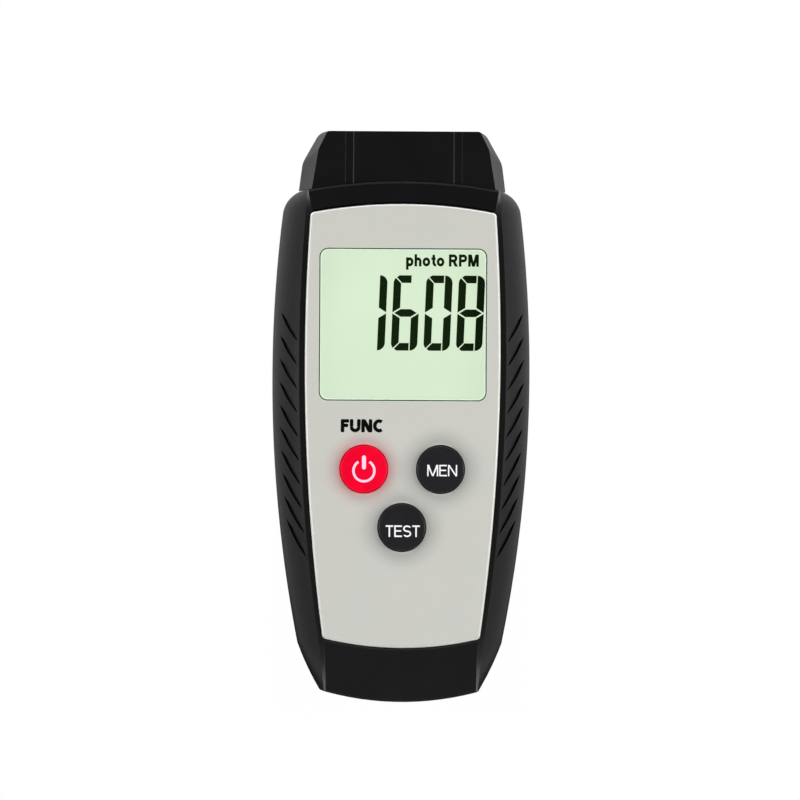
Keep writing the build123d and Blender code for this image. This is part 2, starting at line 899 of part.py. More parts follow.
# Display: a frame on the board round the glass, its light plate and the rubber contact strip
def display_rectangle(height, width, length, shift=0.0):
    """A rectangle in plan at a height, centred on the display or shifted along the body."""
    with BuildSketch(Plane.XY.offset(height)) as rectangle:
        with Locations((0, window_y + shift)):
            Rectangle(width, length)
    return rectangle.sketch


glass_top_z = ceiling_z - display_frame_gap
glass_z = glass_top_z - glass_thickness
glass_width = display_frame_width - 2 * (display_frame_wall + glass_gap)
glass_length = display_frame_height - 2 * (display_frame_wall + glass_gap)
light_plate_length = glass_length - contact_strip_width - contact_strip_gap

with BuildPart() as lcd_frame:
    extrude(
        display_rectangle(board_top_z, display_frame_width, display_frame_height),
        amount=glass_top_z - board_top_z,
    )
    extrude(
        display_rectangle(
            board_top_z,
            display_frame_width - 2 * display_frame_wall,
            display_frame_height - 2 * display_frame_wall,
        ),
        amount=glass_top_z - board_top_z,
        mode=Mode.SUBTRACT,
    )
lcd_frame.part.label = "lcd_frame"

with BuildPart() as lcd_glass:
    extrude(display_rectangle(glass_z, glass_width, glass_length), amount=glass_thickness)
lcd_glass.part.label = "lcd_glass"

with BuildPart() as lcd_backlight:
    extrude(
        display_rectangle(
            board_top_z, glass_width, light_plate_length, (glass_length - light_plate_length) / 2
        ),
        amount=glass_z - board_top_z,
    )
lcd_backlight.part.label = "lcd_backlight"

with BuildPart() as lcd_connector:
    extrude(
        display_rectangle(
            board_top_z,
            contact_strip_length,
            contact_strip_width,
            (contact_strip_width - glass_length) / 2,
        ),
        amount=glass_z - board_top_z,
    )
lcd_connector.part.label = "lcd_connector"


# Push buttons, each a cup with a stem that stands on the plunger of its switch
plunger_top_z = board_top_z + switch_height + plunger_stand
button_top_z = panel_top_z + button_stand
flange_top_z = ceiling_z - button_flange_gap
flange_z = flange_top_z - button_flange_thickness


def disc(place, height, diameter):
    """A circle at one place on a level plane."""
    return cylinders([place], height, diameter)


def make_button(name, place):
    """One button cap with its retaining flange, its cup and its stem."""
    with BuildPart() as button:
        extrude(disc(place, flange_z, button_diameter), amount=button_top_z - flange_z)
        fillet(button.faces().sort_by(Axis.Z)[-1].edges(), radius=button_edge_round)
        extrude(
            disc(place, flange_z, button_diameter + 2 * button_flange_width),
            amount=button_flange_thickness,
        )
        extrude(
            disc(place, flange_z, button_diameter - 2 * button_wall),
            amount=button_top_z - button_roof - flange_z,
            mode=Mode.SUBTRACT,
        )
        extrude(
            disc(place, plunger_top_z, button_stem_diameter),
            amount=button_top_z - button_roof - plunger_top_z,
        )
    button.part.label = f"{name}_button"
    return button.part


def make_switch(name, place):
    """The housing of one push switch, open at the top for its plunger."""
    with BuildPart() as switch:
        with BuildSketch(Plane.XY.offset(board_top_z)):
            with Locations(place):
                Rectangle(switch_size, switch_size)
        extrude(amount=switch_height)
        extrude(
            disc(place, board_top_z + switch_height, plunger_diameter + 2 * plunger_gap),
            amount=-(plunger_depth + button_travel + plunger_gap),
            mode=Mode.SUBTRACT,
        )
    switch.part.label = f"{name}_switch"
    return switch.part


def make_plunger(name, place):
    """The plunger of one push switch."""
    with BuildPart() as plunger:
        extrude(
            disc(place, plunger_top_z, plunger_diameter),
            amount=-(plunger_stand + plunger_depth),
        )
    plunger.part.label = f"{name}_plunger"
    return plunger.part


# Main board and the components on it
chip_y = window_y - chip_below_display
parts_y = chip_y - parts_below_chip

with BuildPart() as main_board:
    with BuildSketch(Plane.XY.offset(board_z)):
        with Locations((0, (board_end_y + board_top_end_y) / 2)):
            RectangleRounded(board_width, board_top_end_y - board_end_y, board_corner)
        with Locations(*board_posts):
            Circle(small_screw_diameter / 2 + screw_clearance, mode=Mode.SUBTRACT)
    extrude(amount=board_thickness)
main_board.part.label = "main_board"

with BuildPart() as microcontroller:
    with BuildSketch(Plane.XY.offset(board_z)):
        with Locations((0, chip_y)):
            Rectangle(chip_size, chip_size)
    extrude(amount=-chip_height)
microcontroller.part.label = "microcontroller"

with BuildPart() as crystal:
    with BuildSketch(Plane.XY.offset(board_z)):
        with Locations((part_half_span, parts_y)):
            SlotOverall(crystal_length, crystal_width)
    extrude(amount=-crystal_height)
crystal.part.label = "crystal"

with BuildPart() as capacitor:
    extrude(
        disc((-part_half_span, parts_y), board_z, capacitor_diameter),
        amount=-capacitor_height,
    )
capacitor.part.label = "capacitor"

led_x = button_places["power"][0] + switch_size / 2 + led_gap + led_width / 2

with BuildPart() as power_led:
    with BuildSketch(Plane.XY.offset(board_top_z)):
        with Locations((led_x, button_places["power"][1])):
            Rectangle(led_width, led_length)
    extrude(amount=led_height)
power_led.part.label = "power_led"

with BuildPart() as sensor_header:
    with BuildSketch(Plane.XY.offset(board_z)):
        with Locations((0, holder_back_y - sensor_board_thickness - header_depth / 2)):
            Rectangle(header_width, header_depth)
    extrude(amount=-header_depth)
sensor_header.part.label = "sensor_header"


# Battery, its snap connector, its pad and the two leads to the board
with BuildPart() as battery:
    with BuildSketch(Plane.XZ.offset(-battery_end_y)):
        with Locations((0, lead_z)):
            RectangleRounded(battery_width, battery_thickness, battery_corner)
    extrude(amount=-battery_length)
    with BuildSketch(Plane.XZ.offset(-(battery_end_y + battery_length))):
        with Locations((-stud_spacing / 2, lead_z), (stud_spacing / 2, lead_z)):
            Circle(stud_diameter / 2)
    extrude(amount=-stud_height)
battery.part.label = "battery"

with BuildPart() as battery_snap:
    with BuildSketch(Plane.XZ.offset(-snap_y)):
        with Locations((0, lead_z)):
            SlotOverall(snap_width, snap_depth)
    extrude(amount=-snap_thickness)
    with BuildSketch(Plane.XZ.offset(-snap_y)):
        with Locations((-stud_spacing / 2, lead_z), (stud_spacing / 2, lead_z)):
            Circle(stud_diameter / 2 + snap_stud_gap)
    extrude(amount=-stud_height, mode=Mode.SUBTRACT)
battery_snap.part.label = "battery_snap"

with BuildPart() as battery_pad:
    extrude(
        plan_box(
            pad_width / 2,
            battery_end_y + (battery_length - pad_length) / 2,
            battery_end_y + (battery_length + pad_length) / 2,
            battery_top_z,
        ),
        amount=pad_thickness,
    )
battery_pad.part.label = "battery_pad"


def make_lead(name, side):
    """One lead: straight out of the snap, then up to the underside of the board."""
    exit_y = snap_y + snap_thickness
    with BuildPart() as lead:
        with BuildLine():
            FilletPolyline(
                (side * lead_half_spacing, exit_y, lead_z),
                (side * lead_half_spacing, exit_y + lead_run, lead_z),
                (side * lead_half_spacing, exit_y + lead_run, board_z),
                radius=lead_bend,
            )
        with BuildSketch(Plane.XZ.offset(-exit_y)):
            with Locations((side * lead_half_spacing, lead_z)):
                Circle(lead_diameter / 2)
        sweep()
    lead.part.label = f"battery_lead_{name}"
    return lead.part


# Screws, as groups of equal ones
def make_screws(name, places, seat_z, head, shank):
    """Screws driven upwards at places, with a cross recess; head and shank are (diameter, length)."""
    with BuildPart() as screws:
        extrude(cylinders(places, seat_z, head[0]), amount=-head[1])
        extrude(cylinders(places, seat_z, shank[0]), amount=shank[1])
        with BuildSketch(Plane.XY.offset(seat_z - head[1])):
            with Locations(*places):
                Rectangle(socket_diameter, socket_slot)
                Rectangle(socket_slot, socket_diameter)
        extrude(amount=socket_depth, mode=Mode.SUBTRACT)
    screws.part.label = name
    return screws.part


housing_screws = make_screws(
    "housing_screws",
    screw_places,
    screw_seat_height,
    (screw_head_diameter, screw_head_height),
    (screw_diameter, girth_height - screw_seat_height + screw_bite),
)
board_screws = make_screws(
    "board_screws",
    board_posts,
    board_z,
    (small_screw_head_diameter, small_screw_head_height),
    (small_screw_diameter, board_thickness + small_screw_bite),
)

pieces = [
    front_shell.part,
    rear_shell.part,
    battery_door.part,
    optics_head.part,
    head_window.part,
    lens_holder.part,
    receiving_lens.part,
    laser_module.part,
    photo_sensor.part,
    sensor_board.part,
    sensor_screws.part,
    sensor_header.part,
    face_panel.part,
    lcd_window.part,
    lcd_frame.part,
    lcd_glass.part,
    lcd_backlight.part,
    lcd_connector.part,
    main_board.part,
    microcontroller.part,
    crystal.part,
    capacitor.part,
    power_led.part,
    battery.part,
    battery_snap.part,
    battery_pad.part,
    make_lead("red", 1),
    make_lead("black", -1),
    housing_screws,
    board_screws,
]
for name, place in button_places.items():
    pieces += [make_button(name, place), make_switch(name, place), make_plunger(name, place)]

os.makedirs("parts", exist_ok=True)
for piece in pieces:
    export_step(piece, f"parts/{piece.label}.step")
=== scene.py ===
"""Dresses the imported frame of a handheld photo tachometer: finishes, display, lettering and stage."""

import json
from math import cos, degrees, radians, sin, tan

import bpy
from mathutils import Matrix, Vector
from mathutils.geometry import convex_hull_2d, delaunay_2d_cdt


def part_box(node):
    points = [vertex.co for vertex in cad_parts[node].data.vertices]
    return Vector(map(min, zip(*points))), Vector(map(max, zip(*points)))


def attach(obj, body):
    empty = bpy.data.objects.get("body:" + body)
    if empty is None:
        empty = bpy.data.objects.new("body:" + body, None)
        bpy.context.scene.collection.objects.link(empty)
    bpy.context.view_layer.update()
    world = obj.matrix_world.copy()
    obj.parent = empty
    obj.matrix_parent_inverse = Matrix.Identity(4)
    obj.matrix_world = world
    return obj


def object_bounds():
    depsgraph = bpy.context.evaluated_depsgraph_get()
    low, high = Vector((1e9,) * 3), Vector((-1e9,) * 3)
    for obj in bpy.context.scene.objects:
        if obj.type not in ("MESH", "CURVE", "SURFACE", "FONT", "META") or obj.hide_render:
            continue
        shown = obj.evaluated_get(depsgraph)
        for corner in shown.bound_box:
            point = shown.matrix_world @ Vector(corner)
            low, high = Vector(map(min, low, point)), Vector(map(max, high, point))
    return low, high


bl_info = {
    "name": "Photo tachometer dressing",
    "version": (1, 0, 0),
    "blender": (4, 5, 0),
    "location": "3D View > Sidebar > Tachometer",
    "description": "Finishes, display, lettering and stage for a handheld photo tachometer",
    "category": "Object",
}

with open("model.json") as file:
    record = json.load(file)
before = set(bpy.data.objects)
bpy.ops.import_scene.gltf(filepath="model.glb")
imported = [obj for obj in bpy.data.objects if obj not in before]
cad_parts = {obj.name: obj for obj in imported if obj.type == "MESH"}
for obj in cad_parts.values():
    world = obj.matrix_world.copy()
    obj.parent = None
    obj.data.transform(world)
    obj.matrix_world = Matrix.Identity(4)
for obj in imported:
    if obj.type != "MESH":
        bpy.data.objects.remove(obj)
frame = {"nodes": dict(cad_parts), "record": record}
FRAME_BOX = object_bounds()
MM = 0.001
NODE_BODIES = {
    node: body
    for body, nodes in frame["record"]["behaviour"]["bodies"].items()
    for node in nodes
}


# Sizes and colours that a user would change


def length(name, description, default):
    """A length property, in metres."""
    return bpy.props.FloatProperty(
        name=name, description=description, default=default, unit="LENGTH", precision=5
    )


def pair(name, description, across, along):
    """A property of two lengths, across and along the instrument, in metres."""
    return bpy.props.FloatVectorProperty(
        name=name, description=description, default=(across, along), size=2, unit="LENGTH", precision=5
    )


def color(name, description, default):
    """A linear colour property."""
    return bpy.props.FloatVectorProperty(
        name=name, description=description, default=default, subtype="COLOR", min=0, max=1
    )


def angle(name, description, turn):
    """An angle property, whose default is given in degrees."""
    return bpy.props.FloatProperty(
        name=name, description=description, default=radians(turn), subtype="ANGLE"
    )


def number(name, description, default):
    """A plain number property for a power or a share."""
    return bpy.props.FloatProperty(name=name, description=description, default=default, min=0)


class FinishSettings(bpy.types.PropertyGroup):
    """Colours of the finishes."""

    housing: color("Housing", "Moulded black of the two shells and the door", (0.0016, 0.0016, 0.0021))
    head: color("Head", "Moulded black of the optical head", (0.0016, 0.0016, 0.0022))
    panel: color("Panel", "Silver-grey lacquer of the face panel", (0.545, 0.546, 0.508))
    # Painted highlight: paler colour where the panel's edge rounds off
    panel_edge_highlight: color("Panel edge", "Where the panel's edge rounds off and is paler", (0.93, 0.93, 0.92))
    red: color("Red button", "Translucent red of the power button", (0.70, 0.0002, 0.021))
    black: color("Black buttons", "Black of the other two buttons", (0.012, 0.011, 0.013))
    backlight: color("Backlight", "Lit green of the display", (0.680, 0.830, 0.615))
    ink: color("Segments", "Dark green of the display's segments", (0.0035, 0.0130, 0.0010))
    border: color("Window border", "Line printed round the display window", (0.055, 0.078, 0.052))
    # Painted highlight: a pale line that stands in for light on the pane's edge
    edge_glint: color("Window edge", "Pale line inside the border", (0.76, 0.86, 0.73))
    # Painted light: the red that the lit power button spills on the panel
    red_spill_tint: color("Red button's rim", "Panel beside the lit power button", (0.505, 0.359, 0.345))
    # Painted glow: the panel itself gives off this light near the power button
    red_glow: color("Red glow", "Light that the power button throws on its rim", (0.16, 0.010, 0.018))
    # Painted shadow on the panel round the black buttons
    black_button_shade: color("Black buttons' rim", "Panel beside the black buttons", (0.448, 0.445, 0.418))
    # Painted shadow: colour of the dark strip laid in the gap round the panel
    gap_shade: color("Seal", "Dark line round the panel", (0.0012, 0.0012, 0.0015))
    print_black: color("Black print", "Ink of the word on the panel", (0.002, 0.002, 0.002))
    print_white: color("White print", "Ink of the words on the buttons", (0.90, 0.91, 0.95))
    print_pink: color("Pink print", "Standby mark, lit through the red button", (1.0, 0.56, 0.71))


class DisplaySettings(bpy.types.PropertyGroup):
    """Sizes of the display's figures and of the lines round its window."""

    digits: bpy.props.StringProperty(
        name="Reading", description="Figures that the display shows", default="1608"
    )
    digit_height: length("Digit height", "From the top to the bottom of a figure", 19.55 * MM)
    digit_width: length("Digit width", "Across a figure", 6.85 * MM)
    digit_pitch: length("Digit pitch", "From one figure to the next", 8.45 * MM)
    digit_right: length("Digit margin", "From the last figure to the edge of the window", 0.75 * MM)
    digit_top: length("Digit top", "From the figures to the top of the window", 7.05 * MM)
    stroke: length("Segment width", "Across a segment", 1.98 * MM)
    gap: length("Segment gap", "Between two segments", 0.26 * MM)
    corner: length("Segment corner", "Radius of a figure's outer corners", 2.0 * MM)
    slant: angle("Slant", "Lean of the figures to the right", 2.2)
    window_corner: length("Window corner", "Radius of the lines at the window's corners", 2.3 * MM)
    border_width: length("Border width", "Line round the window", 0.32 * MM)
    # Width of the painted glint inside the border
    edge_width: length("Edge width", "Pale line inside the border", 0.24 * MM)


class GapShadeSettings(bpy.types.PropertyGroup):
    """Sizes of the dark line laid in the gap round the panel, a painted shadow."""

    width: length("Width", "Across the line at the head end", 0.40 * MM)
    fade: length("Fade", "From the line's start to where it has its full width", 20 * MM)
    gap: length("Gap", "Between the panel and the line", 0.03 * MM)
    depth: length("Depth", "From the top of the line to its underside", 0.40 * MM)
    lift: length("Lift", "From the shell's face to the top of the line", 0.01 * MM)
    probe: length("Probe", "From the panel to where the shell's height is measured", 0.5 * MM)


class LetteringSettings(bpy.types.PropertyGroup):
    """Sizes and places of the words and the standby mark."""

    caption: bpy.props.StringProperty(
        name="Caption", description="Mode and unit over the figures", default="photo RPM"
    )
    caption_size: pair("Caption size", "Its width and a capital's height", 18.9 * MM, 3.16 * MM)
    caption_place: pair("Caption place", "From the window's upper right corner", -11.56 * MM, -4.72 * MM)
    caption_stroke: number("Caption stroke", "Share of a capital's height", 0.235)
    function_size: pair("Panel word size", "Its width and a capital's height", 11.175 * MM, 3.42 * MM)
    function_place: pair("Panel word place", "From the power button's centre", -0.4625 * MM, 9.52 * MM)
    function_stroke: number("Panel word stroke", "Share of a capital's height", 0.265)
    function_spacing: number("Panel word spacing", "Between letters, as a share of the height", 0.05)
    function_ends: number("Panel word ends", "How far the corners of its strokes are rounded", 0.10)
    menu_size: pair("Menu word size", "Its width and a capital's height", 7.75 * MM, 2.95 * MM)
    menu_place: pair("Menu word place", "From the menu button's centre", 0.41 * MM, -1.74 * MM)
    menu_stroke: number("Menu word stroke", "Share of a capital's height", 0.118)
    test_size: pair("Test word size", "Its width and a capital's height", 8.86 * MM, 3.02 * MM)
    test_place: pair("Test word place", "From the test button's centre", 0.21 * MM, -2.46 * MM)
    test_stroke: number("Test word stroke", "Share of a capital's height", 0.130)
    standby_place: pair("Standby place", "From the power button's centre", 0.0, -0.45 * MM)
    standby_radius: length("Standby radius", "Outer radius of the standby mark's ring", 3.03 * MM)
    standby_stroke: length("Standby stroke", "Width of the ring", 0.62 * MM)
    standby_gap: angle("Standby gap", "Half of the opening at the top of the ring", 32)
    standby_bar: length("Standby bar", "Width of the bar", 1.02 * MM)
    bar_low: length("Bar's foot", "From the ring's centre to the bar's lower end", 0.36 * MM)
    bar_high: length("Bar's top", "From the ring's centre to the bar's upper end", 3.98 * MM)
    ink_thickness: length("Ink thickness", "Of segments and print", 0.02 * MM)


class StageSettings(bpy.types.PropertyGroup):
    """Camera and lights."""

    field: length("Field", "Width of the picture at the face of the instrument", 208 * MM)
    lens: bpy.props.FloatProperty(name="Lens", description="Focal length, in millimetres", default=1000)
    aim: pair("Aim", "Middle of the picture on the instrument", -0.33 * MM, 4.32 * MM)
    side_tilt: angle("Side tilt", "Lean of the camera towards the left side", 1.45)
    roll: angle("Roll", "Turn of the camera about its own axis", 0.34)
    side_reach: length("Side reach", "From the middle to a side lamp", 0.72)
    end_reach: length("End reach", "From the middle to the lamp at either end", 0.76)
    lamp_height: length("Lamp height", "From the table to the four large lamps", 0.36)
    lamp_long: length("Lamp length", "Long side of a large lamp", 0.8)
    lamp_short: length("Lamp width", "Short side of a large lamp", 0.3)
    left_power: number("Left lamp", "Power of the lamp on the left, in watts", 5.8)
    right_power: number("Right lamp", "Power of the lamp on the right, in watts", 6.38)
    head_power: number("Head lamp", "Power of the lamp at the head end, in watts", 3.6)
    foot_power: number("Foot lamp", "Power of the lamp at the foot, in watts", 2.8)
    sheen_power: number("Sheen lamp", "Power of the small lamp above the foot, in watts", 0.2)
    sky: number("Sky", "Strength of the light from all round", 0.06)


def settings(name):
    """One of the groups of settings on the scene."""
    return getattr(bpy.context.scene, f"tachometer_{name}")


# Places on the frame


def top_of(node):
    """Height of the highest point of a node."""
    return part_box(node)[1].z


def middle_of(node):
    """Centre of a node's box, seen from above."""
    low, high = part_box(node)
    return ((low + high) / 2).to_2d()


def corners_above(node, height):
    """A node's corners over a height, seen from above."""
    return [vertex.co.to_2d() for vertex in frame["nodes"][node].data.vertices if vertex.co.z > height]


def cap_radius(node):
    """Radius of a button's cap where it stands over the panel."""
    middle = middle_of(node)
    return max((corner - middle).length for corner in corners_above(node, top_of("face_panel")))


def window_corners():
    """Lowest and highest corner of the pane's face, inside its flange."""
    face = corners_above("lcd_window", top_of("lcd_window") - 0.1 * MM)
    xs = [corner.x for corner in face]
    ys = [corner.y for corner in face]
    return Vector((min(xs), min(ys))), Vector((max(xs), max(ys)))


# Shader nodes

# Where noise about 0.5 goes from its low shade to its high one, so that it makes soft patches
PATCHY = (0.3, 0.7)


class Value:
    """A socket of a node tree, which adds a Math node for each operation on it."""

    def __init__(self, nodes, socket):
        self.nodes = nodes
        self.socket = socket

    def math(self, operation, *others):
        """The result of a Math node on this value and others."""
        return self.nodes.node("ShaderNodeMath", {"operation": operation}, [self, *others])

    def __add__(self, other):
        return self.math("ADD", other)

    def __radd__(self, other):
        return self.math("ADD", other)

    def __mul__(self, other):
        return self.math("MULTIPLY", other)

    def __rmul__(self, other):
        return self.math("MULTIPLY", other)

    def __sub__(self, other):
        return self.math("SUBTRACT", other)

    def __rsub__(self, other):
        return self.nodes.node("ShaderNodeMath", {"operation": "SUBTRACT"}, [other, self])

    def part(self, axis):
        """One of the three parts of a vector: X, Y or Z."""
        return self.nodes.node("ShaderNodeSeparateXYZ", {}, {0: self}, axis)

    def ramp(self, low, high):
        """0 below one value and 1 above another, smooth between them."""
        return self.nodes.node(
            "ShaderNodeMapRange",
            {"interpolation_type": "SMOOTHSTEP"},
            {"Value": self, "From Min": low, "From Max": high},
        )


class Nodes:
    """A node tree with one method that adds any node to it."""

    def __init__(self, tree):
        self.tree = tree

    def node(self, kind, choices, values, output=0):
        """Adds a node with its settings first, then the values or links of its sockets."""
        added = self.tree.nodes.new(kind)
        for key, choice in choices.items():
            setattr(added, key, choice)
        pairs = values.items() if isinstance(values, dict) else enumerate(values)
        for key, value in pairs:
            if isinstance(value, Value):
                self.tree.links.new(value.socket, added.inputs[key])
            else:
                added.inputs[key].default_value = value
        return Value(self, added.outputs[output])

    def ray(self, kind):
        """1 for one kind of ray, such as Camera, and 0 for the others."""
        return self.node("ShaderNodeLightPath", {}, {}, f"Is {kind} Ray")


class Finish(Nodes):
    """A material with a principled shader, patterned by the object's own coordinates."""

    def __init__(self, name, base, roughness, **constants):
        self.material = bpy.data.materials.new(name)
        self.material.use_nodes = True
        super().__init__(self.material.node_tree)
        self.shader = self.tree.nodes["Principled BSDF"]
        self.shader.inputs["Base Color"].default_value = (*base, 1)
        self.shader.inputs["Roughness"].default_value = roughness
        for socket, value in constants.items():
            self.shader.inputs[socket.replace("_", " ")].default_value = value
        self.place = self.node("ShaderNodeTexCoord", {}, {}, "Object")

    def noise(self, size, detail=2, roughness=0.5):
        """Noise about 0.5 whose grain is a size in metres."""
        return self.node(
            "ShaderNodeTexNoise",
            {},
            {"Vector": self.place, "Scale": 1 / size, "Detail": detail, "Roughness": roughness},
            "Fac",
        )

    def away_from(self, node):
        """Distance from the rim of a button, level with the panel."""
        centre = (*middle_of(node), top_of("face_panel"))
        distance = self.node(
            "ShaderNodeVectorMath", {"operation": "DISTANCE"}, {0: self.place, 1: centre}, "Value"
        )
        return distance - cap_radius(node)

    def mix(self, share, low, high):
        """A colour between two linear colours or colour values."""
        ends = [end if isinstance(end, Value) else (*end, 1) for end in (low, high)]
        return self.node("ShaderNodeMix", {"data_type": "RGBA"}, {0: share, 6: ends[0], 7: ends[1]}, 2)

    def mottled(self, base, low, high, share):
        """A base colour that varies between two factors of itself."""
        return self.mix(share, tint(base, low), tint(base, high))

    def feed(self, socket, value):
        """Links a value to a socket of the shader."""
        self.tree.links.new(value.socket, self.shader.inputs[socket])

    def bump(self, height, depth):
        """Raises the surface by a height from 0 to 1 over a depth in metres."""
        values = {"Strength": 1.0, "Distance": depth, "Height": height}
        self.feed("Normal", self.node("ShaderNodeBump", {}, values, "Normal"))


def tint(base, factor):
    """A colour made lighter or darker by a factor."""
    return tuple(min(1.0, channel * factor) for channel in base)


def grey(level):
    """A neutral linear colour."""
    return (level, level, level)


def moulded_plastic(name, base, roughness=0.33):
    """Moulded plastic with a fine spark-eroded grain and a faint sheen that comes and goes."""
    finish = Finish(name, base, roughness, IOR=1.40)
    cloud = finish.noise(size=9 * MM, detail=3)
    grain = finish.noise(size=0.22 * MM, roughness=0.6)
    finish.feed("Base Color", finish.mottled(base, 0.9, 1.12, cloud.ramp(*PATCHY)))
    finish.feed("Roughness", roughness - 0.05 + 0.06 * cloud + 0.05 * grain)
    finish.bump(grain, depth=0.008 * MM)
    return finish.material


def panel_lacquer(name, base):
    """Silver-grey lacquer with a very fine metallic speckle, with painted shade and painted red light
    where the buttons stand and a painted highlight on its edge.
    """
    finish = Finish(name, base, 0.42, IOR=1.45, Emission_Strength=1.0)
    shades = settings("finish")
    speckle = finish.noise(size=0.12 * MM, roughness=0.7)
    cloud = finish.noise(size=14 * MM)
    pearl = finish.mottled(base, 0.965, 1.03, speckle.ramp(0.35, 0.65))
    warm = (base[0] * 1.01, base[1], base[2] * 0.965)
    shade = finish.mix(cloud.ramp(0.35, 0.7) * 0.5, pearl, warm)

    # Painted shadow beside a black button: it deepens over a short rise from its rim and then fades
    rise, hold, fade = 1 * MM, 0.8 * MM, 6 * MM
    for node in ("menu_button", "test_button"):
        away = finish.away_from(node)
        shadow = (1 - away.ramp(hold, fade)) * away.ramp(0, rise)
        shade = finish.mix(shadow, shade, shades.black_button_shade)

    # Painted red light from the power button: the panel's colour is tinted from under its cap outwards,
    # and the panel is made to glow near its rim
    tint_start, tint_end = -1.6 * MM, 5 * MM
    glow_start, glow_end = -0.1 * MM, 1.4 * MM
    away = finish.away_from("power_button")
    shade = finish.mix(1 - away.ramp(tint_start, tint_end), shade, shades.red_spill_tint)
    glow = finish.mix(away.ramp(glow_start, glow_end), shades.red_glow, grey(0.0))

    # Painted highlight: the colour is made paler where the panel's edge rounds off, most of all on the
    # side facing the head end and its lamp
    facing = finish.node("ShaderNodeNewGeometry", {}, {}, "Normal")
    level = facing.part("Z")
    edge = (1 - level.ramp(0.80, 0.97)) * (0.2 + 0.8 * facing.part("Y").ramp(0.02, 0.3))
    finish.feed("Base Color", finish.mix(edge, shade, shades.panel_edge_highlight))
    finish.feed("Emission Color", glow)
    finish.feed("Roughness", 0.20 + 0.18 * level.ramp(0.86, 0.985) + 0.08 * speckle)
    finish.bump(speckle, depth=0.004 * MM)
    return finish.material


def button_plastic(name, base, glow=0.0, gloss=0.25):
    """Smooth keycap plastic, lit from within by a share of its colour."""
    finish = Finish(name, base, 0.42, IOR=1.38, Specular_IOR_Level=gloss, Emission_Strength=glow)
    fine = finish.noise(size=0.15 * MM)
    cloud = finish.noise(size=4 * MM)
    shade = finish.mottled(base, 0.94, 1.06, cloud.ramp(*PATCHY))
    finish.feed("Base Color", shade)
    finish.feed("Emission Color", shade)
    finish.feed("Roughness", 0.38 + 0.08 * fine)
    finish.bump(fine, depth=0.004 * MM)
    return finish.material


def lit_display(name, base):
    """The lit face of the display, a little uneven from place to place."""
    finish = Finish(name, tint(base, 0.12), 0.35, Emission_Strength=0.99)
    cloud = finish.noise(size=22 * MM, detail=1)
    fine = finish.noise(size=0.2 * MM, detail=1)
    finish.feed("Base Color", finish.mottled(base, 0.115, 0.125, cloud.ramp(*PATCHY)))
    finish.feed("Emission Color", finish.mottled(base, 0.985, 1.01, cloud.ramp(*PATCHY)))
    finish.feed("Roughness", 0.32 + 0.06 * fine)
    return finish.material


def printed_ink(name, base, glow=0.0, gloss=0.5):
    """Thin screen print with a faintly uneven cover."""
    finish = Finish(name, base, 0.5, Emission_Strength=glow, Specular_IOR_Level=gloss)
    fine = finish.noise(size=0.1 * MM)
    shade = finish.mottled(base, 0.96, 1.04, fine)
    finish.feed("Base Color", shade)
    if glow:
        finish.feed("Emission Color", shade)
    finish.feed("Roughness", 0.42 + 0.12 * fine)
    return finish.material


def clear_pane(name, base, cover, roughness=0.06):
    """A clear or tinted pane, see-through but for the share that it covers, with faint smears."""
    finish = Finish(name, base, roughness, IOR=1.49)
    smear = finish.noise(size=16 * MM)
    finish.feed("Roughness", roughness + 0.05 * smear.ramp(0.45, 0.8))
    finish.feed("Alpha", cover + 0.02 * smear)
    return finish.material


def bare_metal(name, base, roughness):
    """Plated, turned or drawn metal with fine tool marks."""
    finish = Finish(name, base, roughness, Metallic=1.0)
    marks = finish.noise(size=0.08 * MM, detail=3, roughness=0.7)
    cloud = finish.noise(size=3 * MM)
    finish.feed("Base Color", finish.mottled(base, 0.85, 1.1, cloud))
    finish.feed("Roughness", roughness - 0.06 + 0.12 * marks)
    finish.bump(marks, depth=0.006 * MM)
    return finish.material


def board_laminate(name, base):
    """Green solder resist over a faint weave."""
    finish = Finish(name, base, 0.32, Coat_Weight=0.3)
    weave = finish.node(
        "ShaderNodeTexWave", {"bands_direction": "X"}, {"Vector": finish.place, "Scale": 400.0}, "Fac"
    )
    finish.feed("Base Color", finish.mottled(base, 0.85, 1.15, weave))
    finish.bump(weave, depth=0.004 * MM)
    return finish.material


def soft_rubber(name, base):
    """Dull rubber, foam or insulation."""
    finish = Finish(name, base, 0.75)
    fine = finish.noise(size=0.3 * MM, detail=3, roughness=0.65)
    finish.feed("Base Color", finish.mottled(base, 0.8, 1.2, fine))
    finish.feed("Roughness", 0.66 + 0.16 * fine)
    finish.bump(fine, depth=0.03 * MM)
    return finish.material


